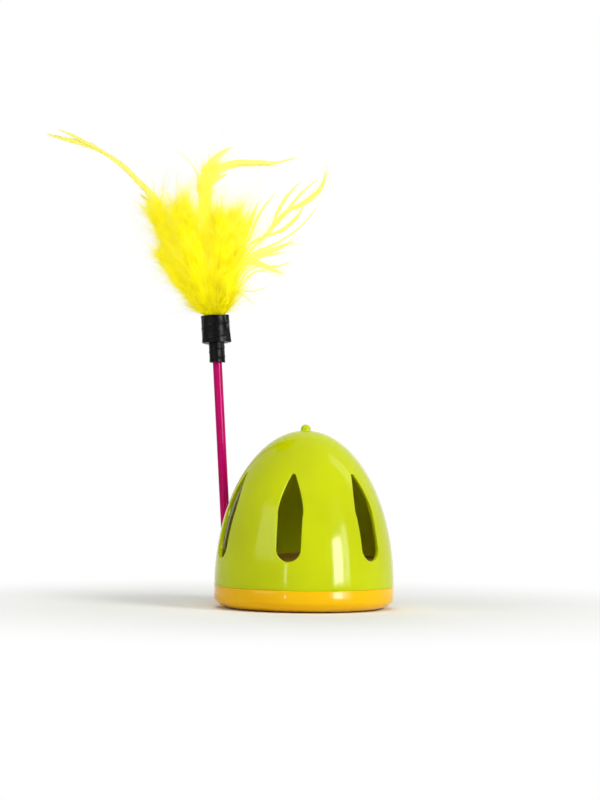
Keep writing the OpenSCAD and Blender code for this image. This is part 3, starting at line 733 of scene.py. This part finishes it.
# node: quill place, route, and what differs from feathersLook
plumes = {
    "top_plume": (10, [[-0.5, -1.5, 12], [-1, 0, 26], [-2, 0, 45], [0, 0, 55], [9, -1, 63.5]], {
        "wide": 2.5, "deep": 2.2, "peak": 0.6, "reach": 0.84, "coatLength": 5.6, "coatOpen": 14,
        "wispLength": 8, "rootShadeTone": -0.5, "shadeRise": 2.0, "tufted": 0.34, "coatThick": 0.06}),
    "left_plume": (7, [[-6.4, -0.9, 15], [-15.2, -1, 30.5], [-21.6, -1, 42.5]], {
        "wide": 5.0, "deep": 4.0, "peak": 0.95, "body": 0.78, "reach": 0.93, "coatOpen": 17,
        "wispLength": 8.5}),
    "low_left_plume": (8, [[-7.2, -2.9, 6.5], [-14.4, -3.3, 16.4], [-20.6, -3, 26.5]], {
        "wide": 3.3, "deep": 3.1, "peak": 0.8, "body": 0.5, "coatCount": 3000, "coatLength": 6,
        "coatOpen": 17, "wispCount": 1500, "wispLength": 8.5, "wispOpen": 30}),
    "front_left_plume": (9, [[-5, -7, 15], [-8.6, -10.5, 30.5], [-12, -11.5, 43.5]], {
        "wide": 5.9, "deep": 4.4, "peak": 0.85}),
    "front_right_plume": (11, [[3, -7, 15], [4.4, -10.5, 30.5], [5, -11.5, 44]], {
        "wide": 5.5, "deep": 4.4, "peak": 0.85, "reach": 0.78}),
    "right_plume": (12, [[5.8, -0.8, 14], [9.2, -0.8, 28], [11, -0.8, 40]], {
        "wide": 4.1, "deep": 3.6, "peak": 0.85, "reach": 0.78, "body": 0.7, "coatOpen": 16,
        "wispLength": 8.5}),
    "back_left_plume": (5, [[-5, 8, 15], [-8, 11.5, 30.5], [-10, 12.5, 44]], backPlume),
    "back_right_plume": (3, [[3, 8, 15], [5, 11.5, 30.5], [6, 12.5, 44]],
                        {**backPlume, "reach": 0.8}),
}

# node: quill place, route of the quill, sparse web barbs, and the strands: their places [right, up],
# their depths at both ends, their half-widths and how many fine barbs leave their edges
hackles = {
    "long_hackle": (6, [[-7, 4, 18], [-17.5, 4.5, 41], [-28, 3, 54.4], [-41, 1, 65], [-54.5, 0, 70.4],
        [-60.6, 0, 72.4]], 0, [
        ([[-7, 18], [-13, 31], [-18.2, 41], [-20.6, 45.4], [-23.8, 49.6], [-27.1, 53.2], [-31.5, 58.2],
         [-36.7, 62.5], [-42, 65.8], [-48.4, 68.5], [-53.6, 70.1], [-60.7, 72.4]], (4, 0),
         [1.0, 1.5, 1.9, 1.7, 1.4, 1.2, 1.15, 1.0, 0.85, 0.85, 1.2, 0.9, 0.15], 130),
        ([[-38, 63.6], [-42, 66.2], [-46.8, 68.9], [-50.5, 71.2], [-55.5, 73.8]], (1, 0),
         [0.3, 0.6, 0.7, 0.5, 0.08], 25),
        ([[-17, 39.5], [-19.3, 42.5], [-22.2, 44.8], [-26.2, 47.7]], (4.4, 3.6), [0.7, 1.0, 0.7, 0.08],
         20)]),
    "right_hackle": (2, [[7, 4, 15], [18, 5, 28], [30, 4, 38.5], [41, 3, 46], [45.6, 3, 53]], 150, [
        ([[18.8, 27.7], [23.6, 34.3], [25.8, 38.8], [29.5, 44.3], [35.1, 49.9]], (4.6, 3.4),
         [0.2, 0.4, 0.7, 0.6, 0.06], 25),
        ([[18.8, 27.7], [26, 34.9], [29.4, 39.1], [34.8, 45.1], [41.7, 50.6]], (4.8, 3.6),
         [0.2, 0.35, 0.6, 0.5, 0.06], 25),
        ([[17.9, 26.6], [24, 34.3], [29.6, 39.1], [35.4, 41.2], [41.9, 45.9], [45.5, 53.1]], (5, 3),
         [0.3, 0.5, 0.7, 1.1, 0.9, 0.08], 35),
        ([[14.1, 26.8], [18.4, 28.9], [23.8, 30.5], [28, 32.2], [33.1, 36.5], [35.2, 39.8]], (4.8, 4),
         [0.3, 0.6, 0.6, 0.8, 0.7, 0.08], 30),
        ([[12, 22], [16.9, 24], [22.5, 26], [27.8, 28.4], [35.4, 33.7], [41.4, 40.6]], (5, 4),
         [0.3, 0.5, 0.4, 0.35, 0.25, 0.05], 30),
        ([[14.2, 27.9], [16.8, 34.6], [20.6, 40.9], [25, 45.6]], (4.6, 4.2), [0.2, 0.45, 0.4, 0.05], 30),
        ([[9.8, 29], [10.8, 35.7], [11.9, 40.8]], (4.4, 4.4), [1.0, 0.8, 0.06], 20),
        ([[12, 27.5], [15.4, 36.2], [18.6, 42.9]], (4.6, 4.4), [0.7, 0.8, 0.05], 25)]),
    "crest_hackle": (4, [[0.6, 4.5, 18], [0.4, 5, 36], [0.6, 4.6, 47], [3.4, 3, 55.4], [12.5, 1.5, 58.2],
        [25, 0.5, 56.8], [34.4, 0, 58.7]], 0, [
        ([[-1.5, 36], [-1.6, 44], [-0.7, 49.6], [1.9, 54.4], [5.9, 57.4], [12.5, 58.3], [19.8, 57.8],
         [25.9, 57.2], [34.4, 58.7]], (4, 0), [2.0, 1.8, 1.5, 1.2, 1.1, 1.1, 0.9, 0.5, 0.06], 110),
        ([[-1.2, 36], [-1.2, 43.9], [0.1, 49.2], [3, 54], [7.3, 56.4], [13, 57.3], [19.7, 56.9],
         [23.2, 56.5], [27, 55.8]], (4.4, 0.4), [1.6, 1.6, 1.2, 1.0, 0.9, 0.9, 0.7, 0.4, 0.05], 80),
        ([[-1, 44], [-0.8, 47.7], [1.2, 50.7], [4.1, 52.8], [7.2, 54.1]], (3.6, 2.6),
         [1.0, 1.0, 0.9, 0.8, 0.08], 35),
        ([[-1.9, 47.7], [-1.2, 54.5], [1.7, 59], [5.3, 61.8], [9.5, 63.5]], (2, -1),
         [1.2, 1.2, 0.9, 0.7, 0.08], 45),
        ([[-3.4, 46], [-4.1, 49.8], [-4, 54.3], [-7.4, 59.9], [-13.3, 64.6]], (1, 0),
         [0.4, 0.3, 0.2, 0.12, 0.04], 15)]),
    "lower_hackle": (0, [[7.6, 2, 9], [11.8, 2.7, 17.5], [18, 2.8, 22], [25, 2.7, 24.6], [31, 2.6, 27]],
        110, [
        ([[5, 14], [8, 19.1], [12.3, 20.8], [16.8, 22], [24.3, 24.5], [31, 27]], (1.5, 2.6),
         [0.5, 0.9, 1.3, 1.5, 1.0, 0.06], 45),
        ([[14, 21.2], [16.6, 21.7], [23, 22.5], [27.9, 23.1]], (2.4, 2.6), [0.3, 0.5, 0.35, 0.04], 20)]),
    "small_hackle": (1, [[7.5, 4.5, 7.5], [12, 6.4, 15.5], [17, 6.8, 18.6], [22, 6.6, 17.6],
        [27.2, 6.5, 14.9]], 110, [
        ([[5, 13], [8.4, 18.6], [12.7, 19.8], [16.7, 19.8], [21.5, 17.6], [27.1, 14.9]], (5, 6.5),
         [0.5, 0.8, 1.0, 1.1, 0.9, 0.06], 40),
        ([[15, 19.6], [16.8, 19.4], [21.9, 18.1], [25.9, 18.4], [29.8, 19.7]], (6.4, 6.4),
         [0.2, 0.4, 0.35, 0.3, 0.04], 20),
        ([[8.5, 9.5], [14.4, 15.4], [18.2, 16.6], [20.5, 16.2]], (5.5, 6), [0.2, 0.3, 0.25, 0.04], 30),
        ([[7, 7.5], [9.5, 9.2], [14.8, 8.9], [20.3, 10.3]], (4.5, 5), [0.15, 0.25, 0.2, 0.04], 15),
        ([[6.5, 7.5], [9, 8.4], [12, 6.8], [14.9, 3.6]], (4, 4.5), [0.15, 0.25, 0.2, 0.04], 15)]),
}


# One feather on the wand, named as its CAD node but in camelCase. Its parts, each (points, faces,
# BarbMap), are moved from the spray's frame to the toy's.
def makeFeather(node, parts, material):
    words = node.split("_")
    name = words[0] + "".join(word.capitalize() for word in words[1:])
    shapes = [(placed(points, sprayPlace), faces) for points, faces, _ in parts]
    makePiece(name, shapes, material, "wand", [node],
              barbMap=np.concatenate([barbMap for _, _, barbMap in parts]), weld=False, crease=0,
              smooth=node not in hackles)


for node, (place, route, own) in plumes.items():
    look = {**feathersLook, **own}
    points = featherRoute(place, route)
    makeFeather(node, [quillMesh(points, look["quill"]), plumeBody(points, look),
                       plumeBarbs(points, look, "coat"), plumeBarbs(points, look, "wisp")],
                litThroughDown if node == "top_plume" else yellowDown)

for node, (place, route, webCount, strands) in hackles.items():
    look = hackleLook
    points = featherRoute(place, route)
    parts = [quillMesh(points, look["quill"])]
    for places, (near, far), half, count in strands:
        flat = np.array(places, float)
        line = np.stack([flat[:, 0], np.linspace(near, far, len(flat)), flat[:, 1]], 1)
        parts += [strandMesh(line, half),
                  strandBarbs(line, half, count, look["barbOpen"], look["barbLength"], look["barbThick"])]
    if webCount:
        parts.append(strandBarbs(points[2:], look["webHalf"], webCount, look["webOpen"],
                                 look["webLength"], look["webThick"]))
    makeFeather(node, parts, longHackle if node == "long_hackle" else paleHackle)

nodeFinish = {
    "inner_cup": shadedAmber, "weight_plate": steelMetal, "base_screws": steelMetal,
    "screw_eye": steelMetal, "bell_ring": brassMetal, "bell_upper": brassMetal,
    "bell_lower": brassMetal, "bell_pellet": steelMetal,
}
for node, material in nodeFinish.items():
    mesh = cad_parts[node].data
    mesh.materials.clear()
    mesh.materials.append(material)
print("CAD nodes dressed")

stageLook = {"fadeFrom": 0.05, "fadeTo": 0.2, "fill": 0.22, "boardHalf": 6.0}


def whiteForEye(tree):  # 1 for camera, mirror and see-through rays, which then see plain white
    path = addNode(tree, "LightPath")
    share = path.outputs["Is Camera Ray"]
    for ray in ("Is Glossy Ray", "Is Transmission Ray"):
        share = addNode(tree, "Math", {0: share, 1: path.outputs[ray]}, operation="MAXIMUM")
    return share


def makeFloor(look):  # pale board that fades into the white background away from the toy
    mesh = bpy.data.meshes.new("floor")
    half = look["boardHalf"]
    corners = [(-half, -half, 0), (half, -half, 0), (half, half, 0), (-half, half, 0)]
    mesh.from_pydata(corners, [], [(0, 1, 2, 3)])
    floor = bpy.data.objects.new("floor", mesh)
    scene.collection.objects.link(floor)
    material, tree = newMaterial("palePaintedBoard")
    place = addNode(tree, "TexCoord").outputs["Object"]
    far = addNode(tree, "VectorMath", {"Vector": place}, operation="LENGTH")
    fade = addNode(tree, "MapRange", {
        "Value": far.outputs["Value"], "From Min": look["fadeFrom"], "From Max": look["fadeTo"]},
        interpolation_type="SMOOTHSTEP")
    share = addNode(tree, "Math", {0: fade, 1: whiteForEye(tree)}, operation="MULTIPLY")
    board = addNode(tree, "BsdfDiffuse", {"Color": linear("#F4F4F2")})
    glow = addNode(tree, "Emission", {"Color": (1, 1, 1, 1), "Strength": 1.0})
    both = addNode(tree, "MixShader", {"Fac": share, 1: board, 2: glow})
    addNode(tree, "OutputMaterial", {"Surface": both})
    mesh.materials.append(material)


def makeWorld(look):  # dim, even white light for the surfaces, and plain white for the eye
    world = bpy.data.worlds.new("studioWorld")
    scene.world = world
    world.use_nodes = True
    tree = world.node_tree
    tree.nodes.clear()
    fill = addNode(tree, "Background", {"Color": (1, 1, 1, 1), "Strength": look["fill"]})
    white = addNode(tree, "Background", {"Color": (1, 1, 1, 1), "Strength": 1.0})
    both = addNode(tree, "MixShader", {"Fac": whiteForEye(tree), 1: fill, 2: white})
    addNode(tree, "OutputWorld", {"Surface": both})


# A soft box at an azimuth and elevation in degrees, seen from the dome, turned to face it. A fill lights
# the colours only, a gleam shows as a reflection only.
def addLamp(name, kind, azimuth, elevation, distance, width, height, power):
    a, e = math.radians(azimuth), math.radians(elevation)
    away = Vector((math.sin(a) * math.cos(e), -math.cos(a) * math.cos(e), math.sin(e)))
    data = bpy.data.lights.new(name, "AREA")
    data.shape, data.size, data.size_y, data.energy = "RECTANGLE", width, height, power
    lamp = bpy.data.objects.new(name, data)
    scene.collection.objects.link(lamp)
    lamp.location = away * distance + Vector((0, 0, 0.05))
    lamp.rotation_mode = "QUATERNION"
    lamp.rotation_quaternion = away.to_track_quat("Z", "Y")
    lamp.visible_camera = False
    lamp.visible_glossy = kind == "gleam"
    lamp.visible_diffuse = kind == "fill"


lamps = [  # name, kind, azimuth, elevation, distance, width, height (m), power (W)
    ("windowPane", "gleam", 55, 6.5, 1.2, 0.27, 0.46, 17.5),
    ("windowFrame", "gleam", 67, 8, 1.2, 0.16, 0.6, 4.2),
    ("shoulderGlow", "gleam", 112, 40, 1.2, 0.3, 0.9, 2.6),
    ("leftPatch", "gleam", -41.4, 19.5, 1.2, 0.67, 0.52, 4.5),
    ("frontLine", "gleam", -12.7, 2, 1.2, 0.04, 0.22, 0.78),
    ("rightKey", "fill", 62, 28, 1.3, 0.5, 0.5, 9.7),
    ("leftFill", "fill", -50, 25, 1.3, 0.6, 0.5, 2.2),
    ("topFill", "fill", 10, 60, 1.3, 0.9, 0.7, 5.7),
    ("rearFill", "fill", 205, 42, 1.3, 0.7, 0.5, 3.4),
]
makeFloor(stageLook)
makeWorld(stageLook)
for lamp in lamps:
    addLamp(*lamp)
print("stage and lamps ready")

cameraLook = {"azimuth": 10.6, "distance": 1.15, "height": 0.077, "roll": 0.68, "focalPixels": 3105.0,
              "axisRight": 6.1, "longSide": 800.0}


def makeCamera(look):  # looks level at the dome's axis, turned about its own line of sight by roll
    a = math.radians(look["azimuth"])
    data = bpy.data.cameras.new("camera")
    data.sensor_width = 36.0
    data.lens = look["focalPixels"] * data.sensor_width / look["longSide"]
    data.shift_x = -look["axisRight"] / look["longSide"]
    data.clip_start = 0.01
    camera = bpy.data.objects.new("camera", data)
    scene.collection.objects.link(camera)
    back = Vector((math.sin(a), -math.cos(a), 0))
    camera.location = back * look["distance"] + Vector((0, 0, look["height"]))
    camera.rotation_mode = "QUATERNION"
    camera.rotation_quaternion = (Matrix.Rotation(math.radians(look["roll"]), 3, back)
                                  @ (-back).to_track_quat("-Z", "Y").to_matrix()).to_quaternion()
    scene.camera = camera


makeCamera(cameraLook)
print("scene ready")
